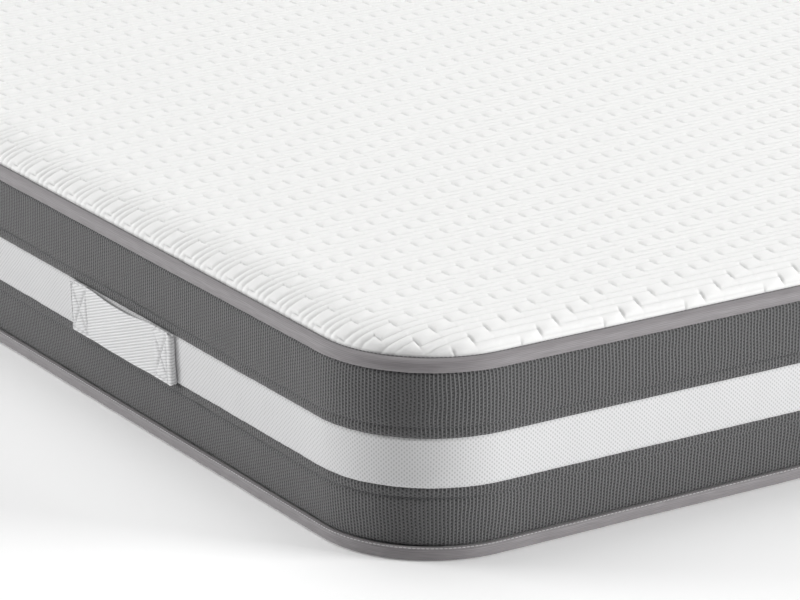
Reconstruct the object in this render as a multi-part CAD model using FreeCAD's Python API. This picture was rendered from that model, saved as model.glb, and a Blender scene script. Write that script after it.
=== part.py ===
"""Memory foam mattress with a crowned quilted top, a banded mesh border and four webbing handles.

Frame: millimetres, +Z up, origin on the floor under the middle of the mattress, +Y along its length.

Most pieces run all the way round the mattress, so each is drawn once as a section. A section is
drawn in (out, z): out is the distance outwards from the side plane (0 at the widest line of the
border, negative inside), and z is the height above the floor. ring() carries a section round the
four sides and four rounded corners, and pad() also fills the middle.
"""
import FreeCAD, Part
import math
import os

# ---- overall sizes
mattress_width = 1400.0
mattress_length = 2000.0
mattress_height = 220.0
corner_radius = 126.0        # seen from above, at the widest line of the border

# ---- border: its outer face is one shallow arc, widest above mid height
belly_below_top = 80.0       # the widest line, below the top of the crown
border_tuck = 8.0            # how far the border has drawn in at the bottom seam
mesh_thickness = 3.0         # spacer mesh, dark strips and white band alike
lining_thickness = 4.0       # soft felt behind the mesh
band_height = 50.3           # white centre band
band_middle = 98.3           # height of the band's centre line
topstitch_from_band = 10.5   # from the band's edge to the stitch line on the dark strip

# ---- top panel, its crown and its sewn-together layers
crown_rise = 19.0            # from the top seam to the flat of the top
crown_width = 66.0           # from the seam inwards to where the top is flat
knit_thickness = 1.6
wadding_thickness = 6.0
wadding_at_seam = 2.0        # the wadding is pressed thin where it is sewn
scrim_thickness = 0.5
panel_turn_down = 4.0        # the panel's edge behind the tape

# ---- bottom panel
bottom_panel_thickness = 1.5

# ---- binding tape over the top seam, a roll whose widest line is low
top_tape_height = 13.6
top_tape_depth = 8.5
top_tape_lip = 1.2           # flat of its upper edge, against the panel
top_tape_widest = 2.6        # height of the widest line above its lower edge
top_tape_foot = 2.4          # how far its lower edge is drawn in
top_tape_bulge = 2.3         # of the arc from the lip to the widest line
top_tape_under_bulge = 0.7   # of the arc from there to the lower edge
tape_edge_step = 0.8         # height of the lip's slope

# ---- binding tape over the bottom seam
bottom_tape_height = 12.8
bottom_tape_depth = 7.8
bottom_tape_proud = 6.0      # how far it stands out from the foot of the border
bottom_tape_lip = 1.6
bottom_tape_widest = 5.6
bottom_tape_foot = 4.0
tape_floor_gap = 0.4         # it hangs just clear of the floor
thread_radius = 0.45

# ---- core: three glued foam layers in a stretch liner
memory_foam_thickness = 55.0
transition_foam_thickness = 30.0
liner_thickness = 0.8
liner_turn_under = 45.0      # the liner's hem under the base foam
shoulder_drop = 25.0         # height of the memory foam's rounded shoulder

# ---- carrying handles
handle_length = 212.0
handle_middle_from_end = 500.0
handle_end_length = 34.0     # doubled webbing, sewn down
handle_lap_above = 1.35      # the webbing laps past the band's upper edge
handle_lap_below = 3.35      # and past its lower edge
webbing_thickness = 2.1
grip_length = 64.0           # the middle stretch that lifts straight off
grip_dip = 4.0               # its lower edge is in line with the ends, its upper edge dips
finger_gap = 5.0             # between the side plane and the grip
leg_clearance = 0.3          # between the grip and the webbing that leads to it
stitch_width = 1.0
stitch_height = 0.5
stitch_inset = 2.5           # from the edges of the sewn end
patch_length = 46.0
patch_margin = 4.5           # above and below the sewn end
patch_thickness = 1.2

# ---- fits
ease = 0.3                   # between a layer of the cover and the next
sewn_ease = 0.1              # under pieces that are sewn down flat

# ---- worked out from the sizes above
top_seam = mattress_height - crown_rise
belly_height = mattress_height - belly_below_top
top_tape_low = top_seam - top_tape_height
bottom_tape_top = tape_floor_gap + bottom_tape_height
seam_drop = belly_height - bottom_tape_top
border_radius = (seam_drop ** 2 + border_tuck ** 2) / (2 * border_tuck)
lining_depth = mesh_thickness + ease
liner_depth = lining_depth + lining_thickness + ease
foam_depth = liner_depth + liner_thickness + ease
band_low = band_middle - band_height / 2
band_top = band_middle + band_height / 2
bottom_tape_out = bottom_tape_proud - border_tuck
bottom_tape_inside = bottom_tape_out - bottom_tape_depth
panel_out = -top_tape_depth - ease
crown_centre = panel_out - crown_width
core_top = (mattress_height - knit_thickness - wadding_thickness - scrim_thickness - 3 * ease)
shoulder_low = core_top - shoulder_drop
handle_low = band_low - handle_lap_below
handle_end_height = band_top + handle_lap_above - handle_low
handle_middle = handle_low + handle_end_height / 2
grip_height = handle_end_height - grip_dip
patch_height = handle_end_height + 2 * patch_margin
half_x = mattress_width / 2 - corner_radius
half_y = mattress_length / 2 - corner_radius


def at(out, z):
    """Point of a section; its x is the distance from the axis of the corner's turn."""
    return FreeCAD.Vector(corner_radius + out, 0, z)


def border_out(z, depth):
    """Where the arc that lies depth behind the border's outer face is at height z."""
    radius = border_radius - depth
    return math.sqrt(radius ** 2 - (z - belly_height) ** 2) - border_radius


def border_line(z_from, z_to, depth):
    """The border's arc between two heights."""
    z_between = (z_from + z_to) / 2
    points = [at(border_out(z, depth), z) for z in (z_from, z_between, z_to)]
    return Part.Arc(*points).toShape()


def line(start, end):
    return Part.LineSegment(at(*start), at(*end)).toShape()


def arc(start, middle, end):
    return Part.Arc(at(*start), at(*middle), at(*end)).toShape()


def bulging(start, end, bulge):
    """Arc whose middle stands bulge outwards from its chord."""
    run, rise = end[0] - start[0], end[1] - start[1]
    chord = math.hypot(run, rise)
    middle = ((start[0] + end[0]) / 2 - bulge * rise / chord,
              (start[1] + end[1]) / 2 + bulge * run / chord)
    return arc(start, middle, end)


def crown_line(out_side, z_side, z_top):
    """Quarter ellipse from the side, where it stands upright, to the flat of the top."""
    centre = at(crown_centre, z_side)
    ellipse = Part.Ellipse(at(out_side, z_side), at(crown_centre, z_top), centre)
    return Part.Arc(ellipse, 0, math.pi / 2).toShape()


def face(edges):
    return Part.Face(Part.Wire(Part.__sortEdges__(edges)))


def disc(out, z, radius):
    """Section of a thread."""
    circle = Part.Circle(at(out, z), FreeCAD.Vector(0, 1, 0), radius)
    return Part.Face(Part.Wire(circle.toShape()))


def ring(section, middle=None):
    """Carry a section round the mattress, and add the middle slab of a pad."""
    pieces = []
    corners = [(half_x, half_y), (-half_x, half_y), (-half_x, -half_y), (half_x, -half_y)]
    for turn, (x, y) in enumerate(corners):
        run = 2 * (half_y if turn % 2 == 0 else half_x)
        corner = section.revolve(FreeCAD.Vector(), FreeCAD.Vector(0, 0, 1), 90)
        side = section.extrude(FreeCAD.Vector(0, -run, 0))
        for piece in (corner, side):
            piece.rotate(FreeCAD.Vector(), FreeCAD.Vector(0, 0, 1), 90 * turn)
            piece.translate(FreeCAD.Vector(x, y, 0))
            pieces.append(piece)
    if middle:
        pieces.append(middle)
    return pieces[0].multiFuse(pieces[1:]).removeSplitter()


def pad(section, z_low, z_top):
    """A layer whose section reaches the corner's axis between z_low and z_top."""
    slab = Part.makeBox(2 * half_x, 2 * half_y, z_top - z_low)
    slab.translate(FreeCAD.Vector(-half_x, -half_y, z_low))
    return ring(section, slab)


def save(shape, node):
    solids = shape.Solids
    if not solids or not all(solid.isValid() for solid in solids):
        raise ValueError(node + " isn't a valid solid")
    whole = solids[0] if len(solids) == 1 else Part.makeCompound(solids)
    whole.exportStep("parts/" + node + ".step")


# ------------------------------------------------------------------ top panel

def panel_layer(depth, thickness, thickness_at_seam, depth_at_seam):
    """One layer of the quilted top, between two crown lines."""
    outside = panel_out - depth_at_seam
    inside = outside - thickness_at_seam
    hem = top_seam - panel_turn_down
    z_outer = mattress_height - depth
    z_inner = z_outer - thickness
    section = face([
        line((outside, hem), (outside, top_seam)),
        crown_line(outside, top_seam, z_outer),
        line((crown_centre, z_outer), (-corner_radius, z_outer)),
        line((-corner_radius, z_outer), (-corner_radius, z_inner)),
        line((-corner_radius, z_inner), (crown_centre, z_inner)),
        crown_line(inside, top_seam, z_inner),
        line((inside, top_seam), (inside, hem)),
        line((inside, hem), (outside, hem)),
    ])
    return pad(section, z_inner, z_outer)


def top_panel():
    knit_to_wadding = knit_thickness + ease
    wadding_to_scrim = knit_to_wadding + wadding_thickness + ease
    scrim_at_seam = knit_to_wadding + wadding_at_seam + ease
    save(panel_layer(0, knit_thickness, knit_thickness, 0), "top_panel_knit")
    save(panel_layer(knit_to_wadding, wadding_thickness, wadding_at_seam, knit_to_wadding),
         "top_panel_wadding")
    save(panel_layer(wadding_to_scrim, scrim_thickness, scrim_thickness, scrim_at_seam),
         "top_panel_scrim")


# ------------------------------------------------------------------ border

def strip(z_low, z_top, depth, thickness):
    """Section of an upright strip that follows the border's arc."""
    inner = depth + thickness
    return face([
        border_line(z_low, z_top, depth),
        line((border_out(z_top, depth), z_top), (border_out(z_top, inner), z_top)),
        border_line(z_top, z_low, inner),
        line((border_out(z_low, inner), z_low), (border_out(z_low, depth), z_low)),
    ])


def top_tape_section():
    """The rolled binding over the top seam."""
    low = top_tape_low
    inside = -top_tape_depth
    lip = (inside + top_tape_lip, top_seam)
    widest = (0, low + top_tape_widest)
    foot = (-top_tape_foot, low)
    return face([
        bulging(lip, widest, top_tape_bulge),
        bulging(widest, foot, top_tape_under_bulge),
        line(foot, (inside, low)),
        line((inside, low), (inside, top_seam - tape_edge_step)),
        line((inside, top_seam - tape_edge_step), lip),
    ])


def bottom_tape_section():
    """The rolled binding over the bottom seam."""
    low = tape_floor_gap
    top = bottom_tape_top
    inside = bottom_tape_inside
    lip = (inside + bottom_tape_lip, top)
    foot = (bottom_tape_out - bottom_tape_foot, low)
    return face([
        arc(lip, (bottom_tape_out, low + bottom_tape_widest), foot),
        line(foot, (inside, low)),
        line((inside, low), (inside, top)),
        line((inside, top), lip),
    ])


def border():
    """Strips, lining, tapes and the threads that hold them."""
    mesh_low = bottom_tape_top + ease
    mesh_top = top_tape_low - ease
    upper_stitch = band_top + topstitch_from_band
    lower_stitch = band_low - topstitch_from_band
    half_sunk = thread_radius / 2
    threads = {
        "top_tape_thread": disc(panel_out + thread_radius + sewn_ease,
                                top_seam + thread_radius, thread_radius),
        "upper_strip_thread": disc(border_out(upper_stitch, half_sunk), upper_stitch, thread_radius),
        "lower_strip_thread": disc(border_out(lower_stitch, half_sunk), lower_stitch, thread_radius),
        "bottom_tape_thread": disc(border_out(mesh_low, half_sunk), mesh_low, thread_radius),
    }
    fabrics = {
        "tape_edge_top": top_tape_section(),
        "border_mesh_upper": strip(band_top, mesh_top, 0, mesh_thickness),
        "border_band_centre": strip(band_low, band_top, 0, mesh_thickness),
        "border_mesh_lower": strip(mesh_low, band_low, 0, mesh_thickness),
        "tape_edge_bottom": bottom_tape_section(),
    }
    for node, section in threads.items():
        save(ring(section), node)
    for node, section in fabrics.items():
        for thread in threads.values():
            section = section.cut(thread)
        save(ring(section.Faces[0]), node)

    lining = ring(strip(mesh_low, mesh_top, lining_depth, lining_thickness))
    pocket = patch_thickness + ease
    for side, y in handle_places():
        for end in (-1, 1):
            room = patch(side, y + end * handle_end_middle(), pocket, ease)
            lining = lining.cut(room)
    save(lining, "border_lining")


def bottom_panel():
    outside = bottom_tape_inside - ease
    section = face([
        line((-corner_radius, 0), (outside, 0)),
        line((outside, 0), (outside, bottom_panel_thickness)),
        line((outside, bottom_panel_thickness), (-corner_radius, bottom_panel_thickness)),
        line((-corner_radius, bottom_panel_thickness), (-corner_radius, 0)),
    ])
    save(pad(section, 0, bottom_panel_thickness), "bottom_panel")


# ------------------------------------------------------------------ core

def foam_layer(z_low, z_top):
    """A flat foam slab whose edge follows the border's arc."""
    section = face([
        line((-corner_radius, z_low), (border_out(z_low, foam_depth), z_low)),
        border_line(z_low, z_top, foam_depth),
        line((border_out(z_top, foam_depth), z_top), (-corner_radius, z_top)),
        line((-corner_radius, z_top), (-corner_radius, z_low)),
    ])
    return pad(section, z_low, z_top)


def crowned_foam(z_low, z_top):
    """The top foam slab, with its upper edge rounded to the crown."""
    out = border_out(shoulder_low, foam_depth)
    section = face([
        line((-corner_radius, z_low), (border_out(z_low, foam_depth), z_low)),
        border_line(z_low, shoulder_low, foam_depth),
        crown_line(out, shoulder_low, z_top),
        line((crown_centre, z_top), (-corner_radius, z_top)),
        line((-corner_radius, z_top), (-corner_radius, z_low)),
    ])
    return pad(section, z_low, z_top)


def liner(z_low):
    """Stretch sock over the foam, hemmed under its edge."""
    inner_depth = liner_depth + liner_thickness
    z_hem = z_low + liner_thickness
    z_inner = core_top - liner_thickness
    out = border_out(shoulder_low, liner_depth)
    inner_out = border_out(shoulder_low, inner_depth)
    hem = border_out(z_low, liner_depth) - liner_turn_under
    section = face([
        line((hem, z_low), (border_out(z_low, liner_depth), z_low)),
        border_line(z_low, shoulder_low, liner_depth),
        crown_line(out, shoulder_low, core_top),
        line((crown_centre, core_top), (-corner_radius, core_top)),
        line((-corner_radius, core_top), (-corner_radius, z_inner)),
        line((-corner_radius, z_inner), (crown_centre, z_inner)),
        crown_line(inner_out, shoulder_low, z_inner),
        border_line(shoulder_low, z_hem, inner_depth),
        line((border_out(z_hem, inner_depth), z_hem), (hem, z_hem)),
        line((hem, z_hem), (hem, z_low)),
    ])
    return pad(section, z_inner, core_top)


def core():
    liner_low = bottom_panel_thickness + ease
    base_low = liner_low + liner_thickness + ease
    memory_top = core_top - liner_thickness - ease
    memory_low = memory_top - memory_foam_thickness
    transition_low = memory_low - transition_foam_thickness
    save(liner(liner_low), "core_liner")
    save(foam_layer(base_low, transition_low), "support_foam_base")
    save(foam_layer(transition_low, memory_low), "transition_foam_layer")
    save(crowned_foam(memory_low, memory_top), "memory_foam_layer")


# ------------------------------------------------------------------ handles

def handle_places():
    """Side (-1 or 1 along X) and the y of the middle, for each handle in turn."""
    reach = mattress_length / 2 - handle_middle_from_end
    return [(-1, -reach), (-1, reach), (1, -reach), (1, reach)]


def handle_end_middle():
    return (handle_length - handle_end_length) / 2


def on_side(shape, side, y):
    """Turn a shape drawn facing +X from the side plane, at y = 0, to its place."""
    shape.translate(FreeCAD.Vector(mattress_width / 2 - corner_radius, 0, 0))
    if side < 0:
        shape.rotate(FreeCAD.Vector(), FreeCAD.Vector(0, 0, 1), 180)
    shape.translate(FreeCAD.Vector(0, y, 0))
    return shape


def strip_piece(z_low, z_top, depth, thickness, length):
    """A flat piece on the border, length long and centred on y = 0."""
    piece = strip(z_low, z_top, depth, thickness).extrude(FreeCAD.Vector(0, length, 0))
    piece.translate(FreeCAD.Vector(0, -length / 2, 0))
    return piece


def patch(side, y, thickness, margin):
    """Backing patch behind the mesh at one sewn end, or the room for it."""
    half = patch_height / 2 + margin
    piece = strip_piece(handle_middle - half, handle_middle + half,
                        mesh_thickness + ease, thickness, patch_length + 2 * margin)
    return on_side(piece, side, y)


def sewn_end():
    """Webbing folded under itself and sewn flat to the border."""
    half = handle_end_height / 2
    thickness = 2 * webbing_thickness
    return strip_piece(handle_middle - half, handle_middle + half,
                       -sewn_ease - thickness, thickness, handle_end_length)


def box_cross():
    """Raised box stitch with its cross, on the face of a sewn end."""
    half_z = handle_end_height / 2 - stitch_inset
    half_length = handle_end_length / 2 - stitch_inset
    depth = -sewn_ease - 2 * webbing_thickness - stitch_height
    sheet = strip_piece(handle_middle - half_z, handle_middle + half_z, depth, stitch_height,
                        2 * half_length)
    slant = math.atan2(half_z, half_length)
    diagonal = 2 * math.hypot(half_z, half_length)
    lines = [(0, half_z, 2 * half_length, 0), (0, -half_z, 2 * half_length, 0),
             (half_length, 0, 2 * half_z, math.pi / 2), (-half_length, 0, 2 * half_z, math.pi / 2),
             (0, 0, diagonal, slant), (0, 0, diagonal, -slant)]
    bars = []
    for y, z, length, angle in lines:
        bar = Part.makeBox(corner_radius, length, stitch_width)
        bar.translate(FreeCAD.Vector(corner_radius / 2, -length / 2, -stitch_width / 2))
        bar.rotate(FreeCAD.Vector(), FreeCAD.Vector(1, 0, 0), math.degrees(angle))
        bar.translate(FreeCAD.Vector(0, y, handle_middle + z))
        bars.append(bar)
    return sheet.common(bars[0].multiFuse(bars[1:]))


def leg(end):
    """Webbing that leads from a sewn end out to the grip."""
    y_end = end * (handle_length / 2 - handle_end_length)
    y_grip = end * (grip_length / 2 + leg_clearance)
    outlines = []
    for y, height, at_end in ((y_end, handle_end_height, True), (y_grip, grip_height, False)):
        corners = []
        for z, outer in ((0, 0), (0, 1), (height, 1), (height, 0)):
            z += handle_low
            lift = outer * webbing_thickness
            base = border_out(z, 0) + sewn_ease + webbing_thickness if at_end else finger_gap
            corners.append(at(base + lift, z) + FreeCAD.Vector(0, y, 0))
        outlines.append(Part.makePolygon(corners + corners[:1]))
    return Part.makeLoft(outlines, True, True)


def grip():
    piece = Part.makeBox(webbing_thickness, grip_length, grip_height)
    piece.translate(at(finger_gap, handle_low))
    piece.translate(FreeCAD.Vector(0, -grip_length / 2, 0))
    return piece


def handles():
    for number, (side, y) in enumerate(handle_places(), start=1):
        name = "handle_%d_" % number
        ends = [y - handle_end_middle(), y + handle_end_middle()]
        save(Part.makeCompound([on_side(sewn_end(), side, end) for end in ends]), name + "sewn_ends")
        save(Part.makeCompound([on_side(box_cross(), side, end) for end in ends]),
             name + "box_stitching")
        save(Part.makeCompound([patch(side, end, patch_thickness, 0) for end in ends]),
             name + "backing_patches")
        save(Part.makeCompound([on_side(leg(end), side, y) for end in (-1, 1)]), name + "legs")
        save(on_side(grip(), side, y), name + "grip")


os.makedirs("parts", exist_ok=True)
top_panel()
border()
bottom_panel()
core()
handles()
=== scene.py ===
import math

import bpy
import numpy as np
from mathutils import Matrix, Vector, noise


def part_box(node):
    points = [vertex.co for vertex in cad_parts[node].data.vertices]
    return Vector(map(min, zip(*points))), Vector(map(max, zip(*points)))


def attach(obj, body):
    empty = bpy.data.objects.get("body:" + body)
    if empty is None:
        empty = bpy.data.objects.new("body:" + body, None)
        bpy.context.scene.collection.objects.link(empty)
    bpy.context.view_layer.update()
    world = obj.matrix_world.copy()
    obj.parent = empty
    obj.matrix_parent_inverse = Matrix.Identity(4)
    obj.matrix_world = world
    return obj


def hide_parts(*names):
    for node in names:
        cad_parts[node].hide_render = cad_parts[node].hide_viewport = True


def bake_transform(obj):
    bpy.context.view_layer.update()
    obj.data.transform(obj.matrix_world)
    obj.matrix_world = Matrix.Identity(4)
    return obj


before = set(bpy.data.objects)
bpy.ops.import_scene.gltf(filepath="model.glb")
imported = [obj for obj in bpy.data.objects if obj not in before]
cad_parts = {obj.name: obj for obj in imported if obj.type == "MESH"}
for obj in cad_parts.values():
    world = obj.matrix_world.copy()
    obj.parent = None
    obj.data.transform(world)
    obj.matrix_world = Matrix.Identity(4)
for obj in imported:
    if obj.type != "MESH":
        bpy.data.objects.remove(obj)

bl_info = {
    "name": "Memory Foam Mattress",
    "version": (1, 0, 0),
    "blender": (4, 5, 0),
    "location": "View3D > Sidebar > Mattress",
    "description": "Makes the quilted top, mesh border, binding tapes and webbing handles of a mattress",
    "category": "Object",
}

MM = 0.001
QUARTER = math.pi / 2
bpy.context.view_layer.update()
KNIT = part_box("top_panel_knit")
TOP_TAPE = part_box("tape_edge_top")
UPPER_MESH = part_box("border_mesh_upper")
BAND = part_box("border_band_centre")
LOWER_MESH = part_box("border_mesh_lower")
BOTTOM_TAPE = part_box("tape_edge_bottom")
BOTTOM_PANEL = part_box("bottom_panel")
HALF_WIDTH, HALF_LENGTH = UPPER_MESH[1][0], UPPER_MESH[1][1]
HANDLES = (1, 2, 3, 4)


# ---------------------------------------------------------------- settings

def size(name, default, description):
    """A length in metres, shown in the scene's own unit."""
    return bpy.props.FloatProperty(name=name, default=default, description=description,
                                   unit="LENGTH", precision=5)


def colour(name, default, description):
    return bpy.props.StringProperty(name=name, default=default, description=description)


class BodySettings(bpy.types.PropertyGroup):
    """Outline that the border, tapes and panels share."""
    corner_radius: size("Corner radius", 126 * MM, "Turn of the corners at the border's widest line")
    belly_height: size("Belly height", 140 * MM, "Height of the border's widest line")
    border_radius: size("Border arc", 1009 * MM, "Radius of the border's upright arc")
    ring_step: size("Ring step", 4.2 * MM, "Length of one face along the border")


class QuiltSettings(bpy.types.PropertyGroup):
    """Knitted and quilted top."""
    column: size("Column", 23.5 * MM, "Width of one column of the quilt pattern")
    row: size("Row", 10.1 * MM, "Distance from one stitch line to the next")
    first_column: size("First column", -549.6 * MM, "Where a column of steps stands, along X")
    first_row: size("First row", -830.8 * MM, "Where the stitch line at its head lies, along Y")
    loft: size("Loft", 2.2 * MM, "How far a pillow stands above its stitch lines")
    step_depth: size("Step depth", 0.6 * MM, "How far the steps are pulled below the stitch lines")
    crown_width: size("Crown width", 66 * MM, "From the seam to where the top is flat")
    crown_rise: size("Crown rise", 19 * MM, "From the seam to the flat of the top")
    turn_down: size("Turn-down", 4 * MM, "Panel edge that is hidden behind the tape")
    side_depth: size("Side depth", 4.7 * MM, "Pressed thickness of the panel at the seam")
    panel_depth: size("Panel depth", 8.7 * MM, "Knit, wadding and scrim together")
    knit: colour("Knit", "#FAFAF9", "Bleached polyester double knit")


class BorderSettings(bpy.types.PropertyGroup):
    """Mesh strips, band, tapes and threads."""
    cloth: size("Cloth", 3 * MM, "Thickness of the spacer mesh")
    mesh_column: size("Mesh column", 3.87 * MM, "From one column of holes to the next")
    mesh_row: size("Mesh row", 3.5 * MM, "From one hole to the next in a column")
    band_column: size("Band column", 2.5 * MM, "From one column of pores to the next")
    band_row: size("Band row", 4.5 * MM, "From one pore to the next in a column")
    topstitch: size("Topstitch", 10.5 * MM, "From the band's edge to the stitch line")
    stitch: size("Stitch", 4.4 * MM, "From one stitch to the next")
    thread: size("Thread", 0.42 * MM, "Half the thickness of the sewing thread")
    thread_colour: colour("Thread colour", "#5E5F62", "Grey sewing thread")
    # the bottom tape's thread is made pale and thick so that it also stands for a painted highlight along
    # the tape's folded edge
    edge_thread_highlight_colour: colour("Edge thread colour", "#E2E0E1", "Pale thread on the bottom tape")
    edge_thread: size("Edge thread", 0.6 * MM, "Half the thickness of the thread on the bottom tape")
    mesh: colour("Mesh", "#626263", "Dark grey spacer mesh")
    band: colour("Band", "#DFDFE0", "White spacer mesh")
    tape: colour("Tape", "#8E8A8C", "Grey binding tape")


class HandleSettings(bpy.types.PropertyGroup):
    """Webbing handles."""
    webbing: size("Webbing", 2.1 * MM, "Thickness of the webbing")
    rib: size("Rib", 3.2 * MM, "From one diagonal rib of the webbing to the next")
    bow: size("Bow", 0.4 * MM, "How far the middle of the grip bows out")
    stitch: size("Stitch", 3.2 * MM, "From one stitch to the next")
    thread: size("Thread", 0.5 * MM, "Half the thickness of the sewing thread")
    colour: colour("Webbing colour", "#EFEFF0", "White polyester webbing")


class StudioSettings(bpy.types.PropertyGroup):
    """Floor, light and camera."""
    lens: bpy.props.FloatProperty(name="Lens", default=189.2, subtype="DISTANCE_CAMERA",
                                  description="Focal length in millimetres on a 36 mm sensor")
    camera: bpy.props.FloatVectorProperty(name="Camera", default=(-2.6234, -4.0182, 1.5055),
                                          subtype="TRANSLATION", unit="LENGTH",
                                          description="Where the camera stands")
    pitch: bpy.props.FloatProperty(name="Pitch", default=math.radians(18.96), subtype="ANGLE",
                                   description="How far the camera looks down")
    yaw: bpy.props.FloatProperty(name="Yaw", default=math.radians(32.65), subtype="ANGLE",
                                 description="How far the camera is turned from the bed's length")
    floor: colour("Floor", "#F7F7F7", "Pale studio floor")


# ---------------------------------------------------------------- shared tools

def linear(hex_colour):
    """sRGB hex to the linear RGBA that shaders take."""
    channels = [int(hex_colour[i:i + 2], 16) / 255 for i in (1, 3, 5)]
    return [c / 12.92 if c <= 0.04045 else ((c + 0.055) / 1.055) ** 2.4 for c in channels] + [1.0]


def object_mode():
    bpy.ops.object.mode_set(mode="OBJECT")


def start_fresh():
    """Object mode with nothing selected."""
    if bpy.context.object and bpy.context.object.mode != "OBJECT":
        object_mode()
    bpy.ops.object.select_all(action="DESELECT")


def edit(obj, mode=(True, False, False)):
    """Edit mode on one piece, in vertex, edge or face mode."""
    start_fresh()
    obj.select_set(True)
    bpy.context.view_layer.objects.active = obj
    bpy.context.tool_settings.mesh_select_mode = mode
    bpy.ops.object.mode_set(mode="EDIT")


def positions(obj):
    xyz = np.empty(len(obj.data.vertices) * 3)
    obj.data.vertices.foreach_get("co", xyz)
    return xyz.reshape(-1, 3)


def set_positions(obj, xyz):
    obj.data.vertices.foreach_set("co", np.ascontiguousarray(xyz, float).ravel())
    obj.data.update()


def corner_vertices(mesh):
    """The vertex at each face corner, in the order that UV maps keep."""
    vertices = np.empty(len(mesh.loops), int)
    mesh.loops.foreach_get("vertex_index", vertices)
    return vertices


def grid(nx, ny):
    """A flat grid of nx by ny faces, with the column and the row of each vertex."""
    start_fresh()
    bpy.ops.mesh.primitive_grid_add(x_subdivisions=nx, y_subdivisions=ny, size=2)
    obj = bpy.context.object
    xyz = positions(obj)
    return (obj, np.rint((xyz[:, 0] + 1) / 2 * nx).astype(int),
            np.rint((xyz[:, 1] + 1) / 2 * ny).astype(int))


def extrude_to(obj, place):
    """In edit mode, extrude the selected rim and lay it at place, a function of its points."""
    bpy.ops.mesh.extrude_region_move()
    object_mode()
    chosen = np.empty(len(obj.data.vertices), bool)
    obj.data.vertices.foreach_get("select", chosen)
    xyz = positions(obj)
    xyz[chosen] = place(xyz[chosen])
    set_positions(obj, xyz)
    bpy.ops.object.mode_set(mode="EDIT")


def axis_points(xy):
    """The nearest points of the mattress's middle, inside which no corner turns."""
    hx, hy = corner_centres()
    return np.column_stack([np.clip(xy[:, 0], -hx, hx), np.clip(xy[:, 1], -hy, hy)])


def finish_piece(obj, name, material, degrees=180):
    """Name, finish and smooth a piece."""
    obj.name = obj.data.name = name
    obj.data.materials.clear()
    obj.data.materials.append(material)
    start_fresh()
    obj.select_set(True)
    bpy.context.view_layer.objects.active = obj
    if degrees >= 180:
        bpy.ops.object.shade_smooth()
    else:
        bpy.ops.object.shade_smooth_by_angle(angle=math.radians(degrees))
    return obj


def border_out(z, depth=0.0):
    """How far out from the side plane the border's arc is at height z; 0 at its widest line."""
    body = bpy.context.scene.mattress_body
    radius = body.border_radius - depth
    drop = np.asarray(z, float) - body.belly_height
    return np.sqrt(radius ** 2 - drop ** 2) - body.border_radius


def corner_centres():
    """Half the distances between the axes of the corners, along X and Y."""
    radius = bpy.context.scene.mattress_body.corner_radius
    return HALF_WIDTH - radius, HALF_LENGTH - radius


def perimeter_length():
    hx, hy = corner_centres()
    return 4 * (hx + hy) + 2 * math.pi * bpy.context.scene.mattress_body.corner_radius


def perimeter(x, y):
    """Distance along the side plane of the nearest point, from the foot end of the +X side."""
    hx, hy = corner_centres()
    cx, cy = np.clip(x, -hx, hx), np.clip(y, -hy, hy)
    turn = np.mod(np.arctan2(y - cy, x - cx) + 1e-6, 2 * math.pi)
    straight = np.select([turn < QUARTER, turn < 2 * QUARTER, turn < 3 * QUARTER],
                         [cy + hy, 2 * hy + hx - cx, 2 * hy + 2 * hx + hy - cy],
                         4 * hy + 2 * hx + cx + hx)
    return straight + bpy.context.scene.mattress_body.corner_radius * turn


def on_perimeter(distance, out, z):
    """Points, outward directions and directions of travel at distances along the side plane."""
    radius = bpy.context.scene.mattress_body.corner_radius
    hx, hy = corner_centres()
    bend = radius * QUARTER
    begins = np.cumsum([0, 2 * hy, bend, 2 * hx, bend, 2 * hy, bend, 2 * hx, bend])
    distance = np.mod(distance, begins[-1])
    part = np.searchsorted(begins, distance, side="right") - 1
    rest = distance - begins[part]
    side, curved = part // 2, part % 2 == 1
    turn = side * QUARTER + np.where(curved, rest / radius, 0)
    middles = np.array([(hx, -hy), (hx, hy), (-hx, hy), (-hx, -hy)])
    middle = middles[(side + curved) % 4]
    outward = np.column_stack([np.cos(turn), np.sin(turn), 0 * turn])
    travel = np.column_stack([-np.sin(turn), np.cos(turn), 0 * turn])
    places = outward * (radius + out) + travel * np.where(curved, 0, rest)[:, None]
    places[:, :2] += middle
    places[:, 2] = z
    return places, outward, travel


def wrapped_uv(obj, section):
    """UV in metres: along the perimeter, and along the section's outline."""
    xyz = positions(obj)
    mesh = obj.data
    hx, hy = corner_centres()
    radius = bpy.context.scene.mattress_body.corner_radius
    out = np.hypot(xyz[:, 0] - np.clip(xyz[:, 0], -hx, hx),
                   xyz[:, 1] - np.clip(xyz[:, 1], -hy, hy)) - radius
    outline = np.array(section + section[:1])
    girth = np.concatenate([[0], np.cumsum(np.hypot(*np.diff(outline, axis=0).T))])[:-1]
    nearest = np.argmin((out[:, None] - outline[None, :-1, 0]) ** 2
                        + (xyz[:, 2:3] - outline[None, :-1, 1]) ** 2, axis=1)
    around = perimeter(xyz[:, 0], xyz[:, 1])
    corner_vertex = corner_vertices(mesh)
    starts = np.empty(len(mesh.polygons), int)
    mesh.polygons.foreach_get("loop_start", starts)
    u = around[corner_vertex]
    whole = perimeter_length()
    highest = np.repeat(np.maximum.reduceat(u, starts), np.diff(np.append(starts, len(u))))
    u = np.where(highest - u > whole / 2, u + whole, u)
    layer = mesh.uv_layers.new(name="around")
    layer.data.foreach_set("uv", np.column_stack([u, girth[nearest][corner_vertex]]).ravel())


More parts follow.
